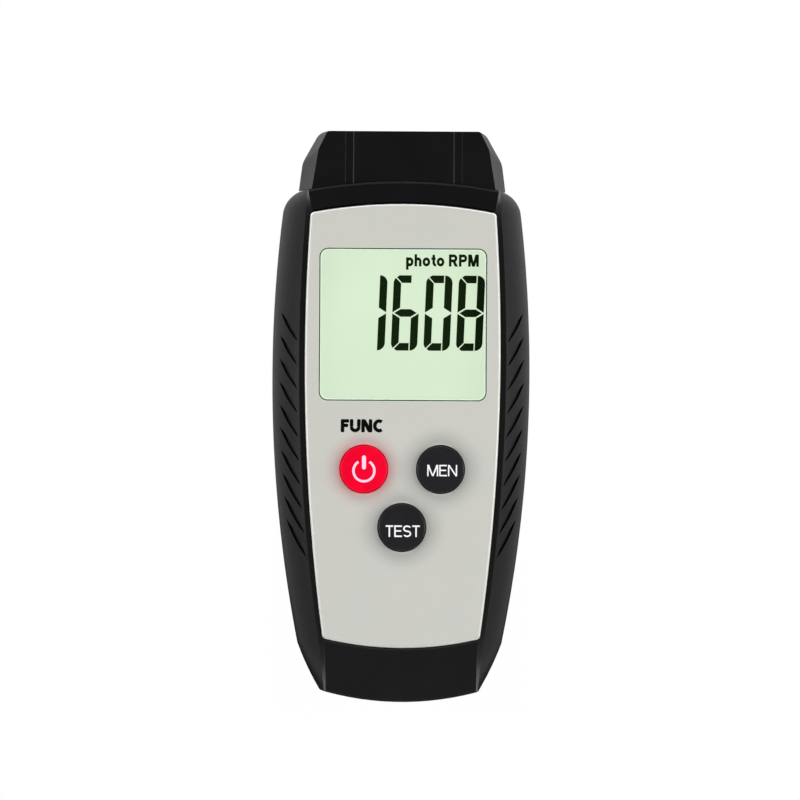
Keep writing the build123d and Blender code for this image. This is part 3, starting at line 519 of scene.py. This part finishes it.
def finish_of(slot):
    """The Blender material of one of the record's slots, made when it is first asked for."""
    name = f"finish_{slot}"
    made = bpy.data.materials.get(name)
    if made:
        return made
    shades = settings("finish")
    makers = {
        "housing": lambda: moulded_plastic(name, shades.housing),
        "head_housing": lambda: moulded_plastic(name, shades.head, roughness=0.35),
        "panel_silver": lambda: panel_lacquer(name, shades.panel),
        "button_red": lambda: button_plastic(name, shades.red, glow=0.22, gloss=0.1),
        "button_black": lambda: button_plastic(name, shades.black),
        "display_window": lambda: clear_pane(name, (0.02, 0.03, 0.02), cover=0.03),
        "display_glass": lambda: lit_display(name, shades.backlight),
        "light_plate": lambda: button_plastic(name, (0.80, 0.86, 0.78), glow=0.4),
        "display_frame": lambda: moulded_plastic(name, grey(0.05)),
        "contact_rubber": lambda: soft_rubber(name, (0.2, 0.2, 0.22)),
        "head_window": lambda: clear_pane(name, (0.020, 0.002, 0.003), cover=0.90, roughness=0.09),
        "holder_black": lambda: moulded_plastic(name, grey(0.012)),
        "lens_clear": lambda: clear_pane(name, (0.9, 0.95, 1.0), cover=0.35, roughness=0.04),
        "laser_brass": lambda: bare_metal(name, (0.72, 0.52, 0.24), roughness=0.26),
        "clear_resin": lambda: clear_pane(name, (0.8, 0.84, 0.9), cover=0.55, roughness=0.08),
        "circuit_board": lambda: board_laminate(name, (0.02, 0.16, 0.06)),
        "chip_resin": lambda: moulded_plastic(name, grey(0.02)),
        "can_metal": lambda: bare_metal(name, (0.72, 0.73, 0.75), roughness=0.28),
        "led_resin": lambda: button_plastic(name, (0.9, 0.2, 0.15), glow=0.6),
        "connector_resin": lambda: moulded_plastic(name, (0.72, 0.69, 0.60)),
        "switch_black": lambda: moulded_plastic(name, grey(0.03)),
        "plunger_white": lambda: moulded_plastic(name, (0.72, 0.72, 0.70)),
        "screw_steel": lambda: bare_metal(name, (0.42, 0.42, 0.43), roughness=0.34),
        "battery_case": lambda: button_plastic(name, (0.05, 0.05, 0.055)),
        "snap_vinyl": lambda: soft_rubber(name, grey(0.02)),
        "foam": lambda: soft_rubber(name, grey(0.06)),
        "lead_red": lambda: soft_rubber(name, (0.5, 0.01, 0.01)),
        "lead_black": lambda: soft_rubber(name, grey(0.012)),
    }
    return makers[slot]()


# New pieces

# Points of outlines that are nearer to each other than this become one
MERGE_DISTANCE = 0.0002 * MM
# Points of a print that are nearer to each other than this are welded
WELD_DISTANCE = 0.001 * MM
# Edges inside a print where its faces turn by less than this are dissolved
FLAT_ANGLE = radians(1)


def new_piece(name, points, faces):
    """A new piece with the given points and faces, selected alone."""
    mesh = bpy.data.meshes.new(name)
    mesh.from_pydata(points, [], faces)
    piece = bpy.data.objects.new(name, mesh)
    bpy.context.scene.collection.objects.link(piece)
    bpy.ops.object.select_all(action="DESELECT")
    piece.select_set(True)
    bpy.context.view_layer.objects.active = piece
    return piece


def settle(piece, material, node):
    """Turns a piece's faces outwards, leaves edit mode, and gives it its finish and a node's body."""
    bpy.ops.mesh.select_all(action="SELECT")
    bpy.ops.mesh.normals_make_consistent(inside=False)
    bpy.ops.object.mode_set(mode="OBJECT")
    piece.data.materials.append(material)
    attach(piece, NODE_BODIES[node])


def joined(outlines):
    """Points and faces of the area that overlapping outlines cover together."""
    points, faces = [], []
    for outline in outlines:
        pairs = zip(outline, outline[1:] + outline[:1])
        if sum(a[0] * b[1] - b[0] * a[1] for a, b in pairs) < 0:
            outline = outline[::-1]
        faces.append([len(points) + index for index in range(len(outline))])
        points += [Vector(point) for point in outline]
    inside_only = 1
    corners, _, cells, _, _, origins = delaunay_2d_cdt(points, [], faces, inside_only, MERGE_DISTANCE)
    return corners, [cell for cell, origin in zip(cells, origins) if origin]


def printed_piece(name, outlines, material, node):
    """Print with the given outlines, in metres, raised from the top of a node by the ink's thickness."""
    corners, faces = joined(outlines)
    surface = top_of(node)
    piece = new_piece(name, [(corner.x, corner.y, surface) for corner in corners], faces)
    rise = (0, 0, settings("lettering").ink_thickness)
    bpy.ops.object.mode_set(mode="EDIT")
    bpy.ops.mesh.select_all(action="SELECT")
    bpy.ops.mesh.remove_doubles(threshold=WELD_DISTANCE)
    bpy.ops.mesh.dissolve_limited(angle_limit=FLAT_ANGLE)
    bpy.ops.mesh.quads_convert_to_tris()
    bpy.ops.mesh.extrude_region_move(TRANSFORM_OT_translate={"value": rise})
    settle(piece, material, node)


def arc(centre, across, along, start, end, steps=10):
    """Points on an ellipse, from a start angle to an end angle in degrees."""
    points = []
    for step in range(steps + 1):
        turn = radians(start + (end - start) * step / steps)
        points.append((centre[0] + across * cos(turn), centre[1] + along * sin(turn)))
    return points


def bar(left, low, right, high):
    """A straight stroke, level or upright."""
    return [(left, low), (right, low), (right, high), (left, high)]


def bow(centre, across, along, stroke, start, end, steps=16):
    """A curved stroke inside an ellipse, from a start angle to an end angle in degrees."""
    outer = arc(centre, across, along, start, end, steps)
    return outer + arc(centre, across - stroke, along - stroke, end, start, steps)


# Letters, drawn where a capital is 1 high

LETTER_WIDTHS = {
    "C": 0.80, "E": 0.68, "F": 0.62, "M": 0.98, "N": 0.82, "P": 0.75, "R": 0.82, "S": 0.72,
    "T": 0.66, "U": 0.80, "h": 0.64, "o": 0.70, "p": 0.68, "t": 0.40, " ": 0.22,
}
SMALL_HEIGHT = 0.74
STEM_TOP = 0.96
TAIL_DEPTH = 0.28
# A stroke's corner that is blunter than this stays as it is
BLUNT_CORNER = radians(130)
CORNER_STEPS = 4


def letter(glyph, wide, thick):
    """Strokes of a letter, each as thick as is given."""
    half = wide / 2
    half_thick = thick / 2
    near_post = bar(0, 0, thick, 1)
    far_post = bar(wide - thick, 0, wide, 1)
    lift = 0.5 + half_thick
    bowl = lift + 0.03
    if glyph == "C":
        return [bow((wide * 0.56, 0.5), wide * 0.56, 0.5, thick, 52, 308, 24)]
    if glyph == "E":
        return [*letter("F", wide, thick), bar(0, 0, wide, thick)]
    if glyph == "F":
        arm = bar(0, 0.52 - half_thick, wide * 0.9, 0.52 + half_thick)
        return [near_post, bar(0, 1 - thick, wide, 1), arm]
    if glyph == "M":
        low_left, low_right = (half - half_thick, 0), (half + half_thick, 0)
        fall = [(0, 1), low_left, low_right, (thick * 1.35, 1)]
        rise = [(wide, 1), low_right, low_left, (wide - thick * 1.35, 1)]
        return [near_post, far_post, fall, rise]
    if glyph == "N":
        fall = [(0, 1), (wide - thick * 1.2, 0), (wide, 0), (thick * 1.2, 1)]
        return [near_post, far_post, fall]
    if glyph == "P":
        round_end = min(bowl / 2, wide - thick)
        reach = wide - round_end
        top = bar(0, 1 - thick, reach, 1)
        middle = bar(0, 1 - bowl, reach, 1 - bowl + thick)
        end = bow((reach, 1 - bowl / 2), round_end, bowl / 2, thick, -90, 90)
        return [near_post, top, middle, end]
    if glyph == "R":
        hip, knee = wide * 0.36, 1 - bowl + half_thick
        heel, toe = wide - thick * 1.15, wide + thick * 0.05
        leg = [(hip, knee), (heel, 0), (toe, 0), (hip + thick * 1.2, knee)]
        return [*letter("P", wide * 0.94, thick), leg]
    if glyph == "S":
        upper = bow((half, 1 - lift / 2), half, lift / 2, thick, 28, 270)
        lower = bow((half, lift / 2), half, lift / 2, thick, -152, 90)
        return [upper, lower]
    if glyph == "T":
        return [bar(half - half_thick, 0, half + half_thick, 1), bar(0, 1 - thick, wide, 1)]
    if glyph == "U":
        bend = bow((half, half), half, half, thick, 180, 360)
        return [bar(0, half, thick, 1), bar(wide - thick, half, wide, 1), bend]
    if glyph == "h":
        spring = SMALL_HEIGHT - half
        bend = bow((half, spring), half, half, thick, 0, 180)
        return [near_post, bend, bar(wide - thick, 0, wide, spring)]
    if glyph == "o":
        return [bow((half, SMALL_HEIGHT / 2), half, SMALL_HEIGHT / 2, thick, 0, 360, 28)]
    if glyph == "p":
        return [bar(0, -TAIL_DEPTH, thick, SMALL_HEIGHT), *letter("o", wide, thick)]
    if glyph == "t":
        stem, bend = wide * 0.26, thick * 1.3
        arm = bar(0, SMALL_HEIGHT - thick * 0.85, wide, SMALL_HEIGHT)
        toe = bow((stem + bend, bend), bend, bend, thick, 180, 280)
        return [bar(stem, thick, stem + thick, STEM_TOP), arm, toe]
    if glyph == " ":
        return []
    raise ValueError(f"no strokes for {glyph}")


def softened(outline, reach):
    """An outline whose sharp corners are rounded off over a reach on each side."""
    points = []
    count = len(outline)
    for index, corner in enumerate(outline):
        here = Vector(corner)
        before = Vector(outline[index - 1]) - here
        after = Vector(outline[(index + 1) % count]) - here
        if min(before.length, after.length) < reach or before.angle(after) > BLUNT_CORNER:
            points.append(corner)
            continue
        start, end = here + before.normalized() * reach, here + after.normalized() * reach
        for step in range(CORNER_STEPS + 1):
            share = step / CORNER_STEPS
            low, high = start.lerp(here, share), here.lerp(end, share)
            points.append(tuple(low.lerp(high, share)))
    return points


def word(name, text, place, size, stroke, material, node, spacing=0.10, ends=0.0):
    """A printed word on top of a node, with the middle of its baseline at a place."""
    width, height = size
    strokes = []
    at = 0.0
    for glyph in text:
        for outline in letter(glyph, LETTER_WIDTHS[glyph], stroke):
            outline = softened(outline, ends) if ends else outline
            strokes.append([(at + x, y) for x, y in outline])
        at += LETTER_WIDTHS[glyph] + spacing
    across = width / (at - spacing)
    left = place.x - width / 2
    placed = [[(left + x * across, place.y + y * height) for x, y in outline] for outline in strokes]
    printed_piece(name, placed, material, node)


# Display figures

DIGIT_SEGMENTS = {
    "0": ("top", "upper_left", "upper_right", "lower_left", "lower_right", "bottom"),
    "1": ("upper_right", "lower_right"),
    "2": ("top", "upper_right", "middle", "lower_left", "bottom"),
    "3": ("top", "upper_right", "middle", "lower_right", "bottom"),
    "4": ("upper_left", "upper_right", "middle", "lower_right"),
    "5": ("top", "upper_left", "middle", "lower_right", "bottom"),
    "6": ("top", "upper_left", "middle", "lower_left", "lower_right", "bottom"),
    "7": ("top", "upper_right", "lower_right"),
    "8": ("top", "upper_left", "upper_right", "middle", "lower_left", "lower_right", "bottom"),
    "9": ("top", "upper_left", "upper_right", "middle", "lower_right", "bottom"),
}


def upper_segments(width, height, stroke, gap, corner):
    """Outlines of the upper half of an upright figure whose middle is at the height 0."""
    top = height / 2
    half_gap = gap / 2
    inner_top = top - stroke
    shoulder = stroke * 0.62
    inset = stroke * 0.28
    left_end = stroke * 1.05
    right_start = width - stroke - gap
    return {
        "upper_left": [
            (0, half_gap),
            (stroke, shoulder + half_gap),
            (stroke, inner_top - half_gap),
            (inset + half_gap, top - inset - gap),
            *arc((corner, top - corner), corner, corner, 140, 180, 5),
        ],
        "top": [
            (inset + gap, top - inset + half_gap * 0.4),
            (left_end + half_gap, inner_top),
            (right_start, inner_top),
            (right_start, top),
            (inset + stroke * 0.45, top),
        ],
        "upper_right": [
            (width, half_gap),
            (width, top - corner),
            *arc((width - corner, top - corner), corner, corner, 0, 90, 8)[1:],
            (width - stroke, top),
            (width - stroke, shoulder + half_gap),
        ],
    }


def middle_segment(width, stroke, gap):
    """Outline of the pointed bar across the middle of a figure."""
    point = stroke * 0.12 + gap
    shoulder = stroke + gap / 2
    half = stroke / 2
    return [
        (point, 0),
        (shoulder, half),
        (width - shoulder, half),
        (width - point, 0),
        (width - shoulder, -half),
        (shoulder, -half),
    ]


def figure_outlines(figure, left, middle_y):
    """Outlines of the lit segments of one figure, leaning about its middle."""
    drawn = settings("display")
    width, stroke, gap = drawn.digit_width, drawn.stroke, drawn.gap
    shapes = upper_segments(width, drawn.digit_height, stroke, gap, drawn.corner)
    for upper, lower in (("upper_left", "lower_left"), ("upper_right", "lower_right"), ("top", "bottom")):
        shapes[lower] = [(x, -y) for x, y in shapes[upper]]
    shapes["middle"] = middle_segment(width, stroke, gap)
    lean = tan(drawn.slant)
    return [
        [(left + x + y * lean, middle_y + y) for x, y in shapes[name]]
        for name in DIGIT_SEGMENTS[figure]
    ]


# Operators, one for each piece or group of like pieces


class TACHOMETER_OT_finish_nodes(bpy.types.Operator):
    """Give every moulded, printed and fitted piece of the frame its finish"""

    bl_idname = "tachometer.finish_nodes"
    bl_label = "Finish the frame's pieces"

    def execute(self, context):
        for part in frame["record"]["subparts"]:
            piece = frame["nodes"][part["node"]]
            piece.data.materials.clear()
            piece.data.materials.append(finish_of(part["material_slot"]))
        return {"FINISHED"}


class TACHOMETER_OT_display(bpy.types.Operator):
    """Show the reading and the caption over it"""

    bl_idname = "tachometer.display"
    bl_label = "Reading and caption"

    def execute(self, context):
        drawn = settings("display")
        letters = settings("lettering")
        ink = printed_ink("finish_segments", settings("finish").ink, gloss=0.05)
        _, window_high = window_corners()
        last_left = window_high.x - drawn.digit_right - drawn.digit_width
        middle_y = window_high.y - drawn.digit_top - drawn.digit_height / 2
        for index, figure in enumerate(reversed(drawn.digits)):
            outlines = figure_outlines(figure, last_left - index * drawn.digit_pitch, middle_y)
            printed_piece(f"figure_{len(drawn.digits) - index}", outlines, ink, "lcd_glass")
        place = window_high + Vector(letters.caption_place)
        size, stroke = letters.caption_size, letters.caption_stroke
        word("display_caption", letters.caption, place, size, stroke, ink, "lcd_glass")
        return {"FINISHED"}


class TACHOMETER_OT_window_lines(bpy.types.Operator):
    """Print the border of the display window, and lay the pale line inside it, a painted glint on the
    pane's edge
    """

    bl_idname = "tachometer.window_lines"
    bl_label = "Lines round the window"

    def execute(self, context):
        drawn = settings("display")
        shades = settings("finish")
        low, high = window_corners()
        inside = Vector((drawn.border_width, drawn.border_width))
        self.line("window_border", low, high, drawn.border_width, shades.border)
        # The pale line inside the border is a painted glint, not print
        self.line("window_edge_glint", low + inside, high - inside, drawn.edge_width, shades.edge_glint)
        return {"FINISHED"}

    def line(self, name, low, high, wide, shade):
        """A line printed just inside the rounded rectangle between two corners."""
        radius = settings("display").window_corner
        left, right = low.x + radius, high.x - radius
        below, above = low.y + radius, high.y - radius
        outlines = [
            bar(low.x, below, low.x + wide, above),
            bar(high.x - wide, below, high.x, above),
            bar(left, low.y, right, low.y + wide),
            bar(left, high.y - wide, right, high.y),
        ]
        for quarter, centre in enumerate(((right, above), (left, above), (left, below), (right, below))):
            start = quarter * 90
            outlines.append(bow(centre, radius, radius, wide, start, start + 90, 10))
        printed_piece(name, outlines, printed_ink(f"finish_{name}", shade), "lcd_window")


class TACHOMETER_OT_panel_shadow_strip(bpy.types.Operator):
    """Lay a dark line in the gap round the panel towards the head end, a painted shadow"""

    bl_idname = "tachometer.panel_line"
    bl_label = "Line round the panel"

    def execute(self, context):
        gap_shade = settings("gap_shade")
        points = corners_above("face_panel", 0)
        corners = [points[index] for index in convex_hull_2d(points)]
        places, faces = [], []
        for index, corner in enumerate(corners):
            before, after = corners[index - 1], corners[(index + 1) % len(corners)]
            out = self.outward(corner, before, after)
            # The painted shadow is widest at the head end and fades towards the foot
            wide = gap_shade.width * min(1.0, max(0.0, corner.y / gap_shade.fade))
            inner, outer = corner + out * gap_shade.gap, corner + out * (gap_shade.gap + wide)
            top = self.shell_height(corner + out * gap_shade.probe) + gap_shade.lift
            base = top - gap_shade.depth
            first = len(places)
            places += [(*inner, top), (*outer, top), (*inner, base), (*outer, base)]
            if corner.y > 0 or after.y > 0:
                following = (first + 4) % (4 * len(corners))
                for low, high in ((0, 1), (1, 3), (3, 2), (2, 0)):
                    faces.append((first + low, first + high, following + high, following + low))
        piece = new_piece("panel_shadow_strip", places, faces)
        bpy.ops.object.mode_set(mode="EDIT")
        bpy.ops.mesh.select_all(action="SELECT")
        bpy.ops.mesh.delete_loose()
        material = printed_ink("finish_panel_line", settings("finish").gap_shade, gloss=0.03)
        settle(piece, material, "face_panel")
        return {"FINISHED"}

    def outward(self, corner, before, after):
        """Direction away from the panel at one of its corners."""
        along = (after - before).normalized()
        out = Vector((along.y, -along.x))
        return out if out.dot(corner) > 0 else -out

    def shell_height(self, spot):
        """Height of the front shell's face under a spot."""
        start = Vector((spot.x, spot.y, 2 * FRAME_BOX[1].z))
        return frame["nodes"]["front_shell"].ray_cast(start, Vector((0, 0, -1)))[1].z


class TACHOMETER_OT_marks(bpy.types.Operator):
    """Print the words and the standby mark on the panel and the buttons"""

    bl_idname = "tachometer.marks"
    bl_label = "Words and marks"

    def execute(self, context):
        letters = settings("lettering")
        shades = settings("finish")
        black = printed_ink("finish_print_black", shades.print_black, gloss=0.05)
        white = printed_ink("finish_print_white", shades.print_white)
        word(
            "function_word",
            "FUNC",
            middle_of("power_button") + Vector(letters.function_place),
            letters.function_size,
            letters.function_stroke,
            black,
            "face_panel",
            letters.function_spacing,
            letters.function_ends,
        )
        menu = middle_of("menu_button") + Vector(letters.menu_place)
        word("menu_word", "MEN", menu, letters.menu_size, letters.menu_stroke, white, "menu_button")
        test = middle_of("test_button") + Vector(letters.test_place)
        word("test_word", "TEST", test, letters.test_size, letters.test_stroke, white, "test_button")
        self.standby_mark(letters)
        return {"FINISHED"}

    def standby_mark(self, letters):
        """An open ring with a bar in its gap, printed on the power button."""
        x, y = middle_of("power_button") + Vector(letters.standby_place)
        radius, stroke, half_bar = letters.standby_radius, letters.standby_stroke, letters.standby_bar / 2
        half_gap = degrees(letters.standby_gap)
        ring = bow((x, y), radius, radius, stroke, 90 + half_gap, 450 - half_gap, 40)
        top = arc((x, y + letters.bar_high - half_bar), half_bar, half_bar, 0, 180)
        foot = arc((x, y + letters.bar_low + half_bar), half_bar, half_bar, 180, 360)
        pink = printed_ink("finish_print_pink", settings("finish").print_pink, glow=0.15)
        printed_piece("standby_mark", [ring, top + foot], pink, "power_button")


class TACHOMETER_OT_stage(bpy.types.Operator):
    """Set the pale floor, the soft lamps and the camera above the face"""

    bl_idname = "tachometer.stage"
    bl_label = "Stage"

    def execute(self, context):
        self.floor()
        self.sky(context.scene)
        self.lamps(context.scene)
        self.camera(context.scene)
        context.scene.view_settings.view_transform = "Standard"
        return {"FINISHED"}

    def floor(self):
        """A table top that shows as white, with the instrument's shadow on it."""
        bpy.ops.object.select_all(action="DESELECT")
        bpy.ops.mesh.primitive_plane_add(size=6, location=(0, 0, -0.02 * MM))
        floor = bpy.context.object
        floor.name = "table_top"
        finish = Finish("finish_table", grey(0.4), 0.9, Specular_IOR_Level=0.2)
        along = finish.place.part("Y")
        aside = finish.place.part("X").math("ABSOLUTE")

        # Painted shade and light on the table, seen in the instrument's gloss: paler towards the head
        # end, darker far to the sides, and a painted shadow, nearly black, under the instrument
        near = finish.mix(along.ramp(-0.09, 0.08), grey(0.10), grey(0.44))
        spread = finish.mix(aside.ramp(0.045, 0.11), near, grey(0.08))
        past_foot = (-1 * along).ramp(0.075, 0.085)
        past_head = along.ramp(0.045, 0.055)
        clear = aside.ramp(0.031, 0.041).math("MAXIMUM", past_foot.math("MAXIMUM", past_head))
        finish.feed("Base Color", finish.mix(clear, grey(0.01), spread))

        # The camera sees mostly plain light and only a small share of the lit table
        most, strength, mirrored = 0.92, 1.08, 0.15
        light = finish.node("ShaderNodeEmission", {}, {"Color": (1, 1, 1, 1), "Strength": strength})
        direct = finish.ray("Camera") * most + finish.ray("Transmission") * most
        # Painted shade: near the instrument, gloss sees the dark table instead of plain light
        seen = (direct + finish.ray("Glossy") * mirrored * clear).math("MINIMUM", most)
        table = Value(finish, finish.shader.outputs[0])
        mixed = finish.node("ShaderNodeMixShader", {}, {0: seen, 1: table, 2: light})
        finish.tree.links.new(mixed.socket, finish.tree.nodes["Material Output"].inputs["Surface"])
        floor.data.materials.append(finish.material)

    def sky(self, scene):
        """Even light from all round, white to the camera."""
        world = bpy.data.worlds.new("studio")
        scene.world = world
        world.use_nodes = True
        nodes = Nodes(world.node_tree)
        back = nodes.tree.nodes["Background"]
        back.inputs["Color"].default_value = (1, 1, 1, 1)
        lift = nodes.node(
            "ShaderNodeMapRange",
            {},
            {"Value": nodes.ray("Camera"), "To Min": settings("stage").sky, "To Max": 1.0},
        )
        nodes.tree.links.new(lift.socket, back.inputs["Strength"])

    def lamps(self, scene):
        """Two large soft lamps at the sides, one at each end, and a small one above the foot."""
        stage = settings("stage")
        side, end, high = stage.side_reach, stage.end_reach, stage.lamp_height
        upright, level = (stage.lamp_short, stage.lamp_long), (stage.lamp_long, stage.lamp_short)
        past_middle = 0.02
        sheen_place, sheen_size = (0.0, -0.22, 0.64), (0.2, 0.1)
        for name, place, size, power in (
            ("lamp_left", (-side, past_middle, high), upright, stage.left_power),
            ("lamp_right", (side, past_middle, high), upright, stage.right_power),
            ("lamp_head", (0.0, end, high), level, stage.head_power),
            ("lamp_foot", (0.0, -end, high), level, stage.foot_power),
            ("lamp_sheen", sheen_place, sheen_size, stage.sheen_power),
        ):
            light = bpy.data.lights.new(name, "AREA")
            light.shape = "RECTANGLE"
            light.size, light.size_y = size
            light.energy = power
            lamp = bpy.data.objects.new(name, light)
            lamp.location = place
            lamp.rotation_euler = (-Vector(place)).to_track_quat("-Z", "Y").to_euler()
            scene.collection.objects.link(lamp)

    def camera(self, scene):
        """A long lens above the face, leaning a little towards the left side."""
        stage = settings("stage")
        lens = bpy.data.cameras.new("camera")
        lens.lens = stage.lens
        lens.sensor_width = 36
        distance = stage.field * stage.lens / lens.sensor_width
        lens.clip_start, lens.clip_end = distance / 10, distance * 4
        camera = bpy.data.objects.new("camera", lens)
        scene.collection.objects.link(camera)
        aim_height = top_of("face_panel") * 0.6
        aim = Matrix.Translation((*stage.aim, aim_height))
        turn = Matrix.Rotation(-stage.side_tilt, 4, "Y") @ Matrix.Rotation(stage.roll, 4, "Z")
        camera.matrix_world = aim @ turn @ Matrix.Translation((0, 0, distance))
        scene.camera = camera


class TACHOMETER_PT_dressing(bpy.types.Panel):
    """Steps that dress the instrument, in order"""

    bl_label = "Tachometer"
    bl_idname = "TACHOMETER_PT_dressing"
    bl_space_type = "VIEW_3D"
    bl_region_type = "UI"
    bl_category = "Tachometer"

    def draw(self, context):
        for operator in OPERATORS:
            self.layout.operator(operator.bl_idname)
        for name in GROUPS:
            box = self.layout.box()
            box.label(text=name.capitalize())
            group = settings(name)
            for key in group.bl_rna.properties.keys():
                if key not in {"rna_type", "name"}:
                    box.prop(group, key)


GROUPS = {
    "finish": FinishSettings,
    "display": DisplaySettings,
    "gap_shade": GapShadeSettings,
    "lettering": LetteringSettings,
    "stage": StageSettings,
}
OPERATORS = (
    TACHOMETER_OT_finish_nodes,
    TACHOMETER_OT_display,
    TACHOMETER_OT_window_lines,
    TACHOMETER_OT_panel_shadow_strip,
    TACHOMETER_OT_marks,
    TACHOMETER_OT_stage,
)


def register():
    """Register the classes and hang the settings on the scene."""
    for kind in (*GROUPS.values(), *OPERATORS, TACHOMETER_PT_dressing):
        bpy.utils.register_class(kind)
    for name, group in GROUPS.items():
        setattr(bpy.types.Scene, f"tachometer_{name}", bpy.props.PointerProperty(type=group))


def unregister():
    """Undo register."""
    for name in GROUPS:
        delattr(bpy.types.Scene, f"tachometer_{name}")
    for kind in (TACHOMETER_PT_dressing, *reversed(OPERATORS), *reversed(GROUPS.values())):
        bpy.utils.unregister_class(kind)


def main():
    """Dress the instrument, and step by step."""
    register()
    for operator in OPERATORS:
        section, name = operator.bl_idname.split(".")
        getattr(getattr(bpy.ops, section), name)()


if __name__ == "__main__":
    main()
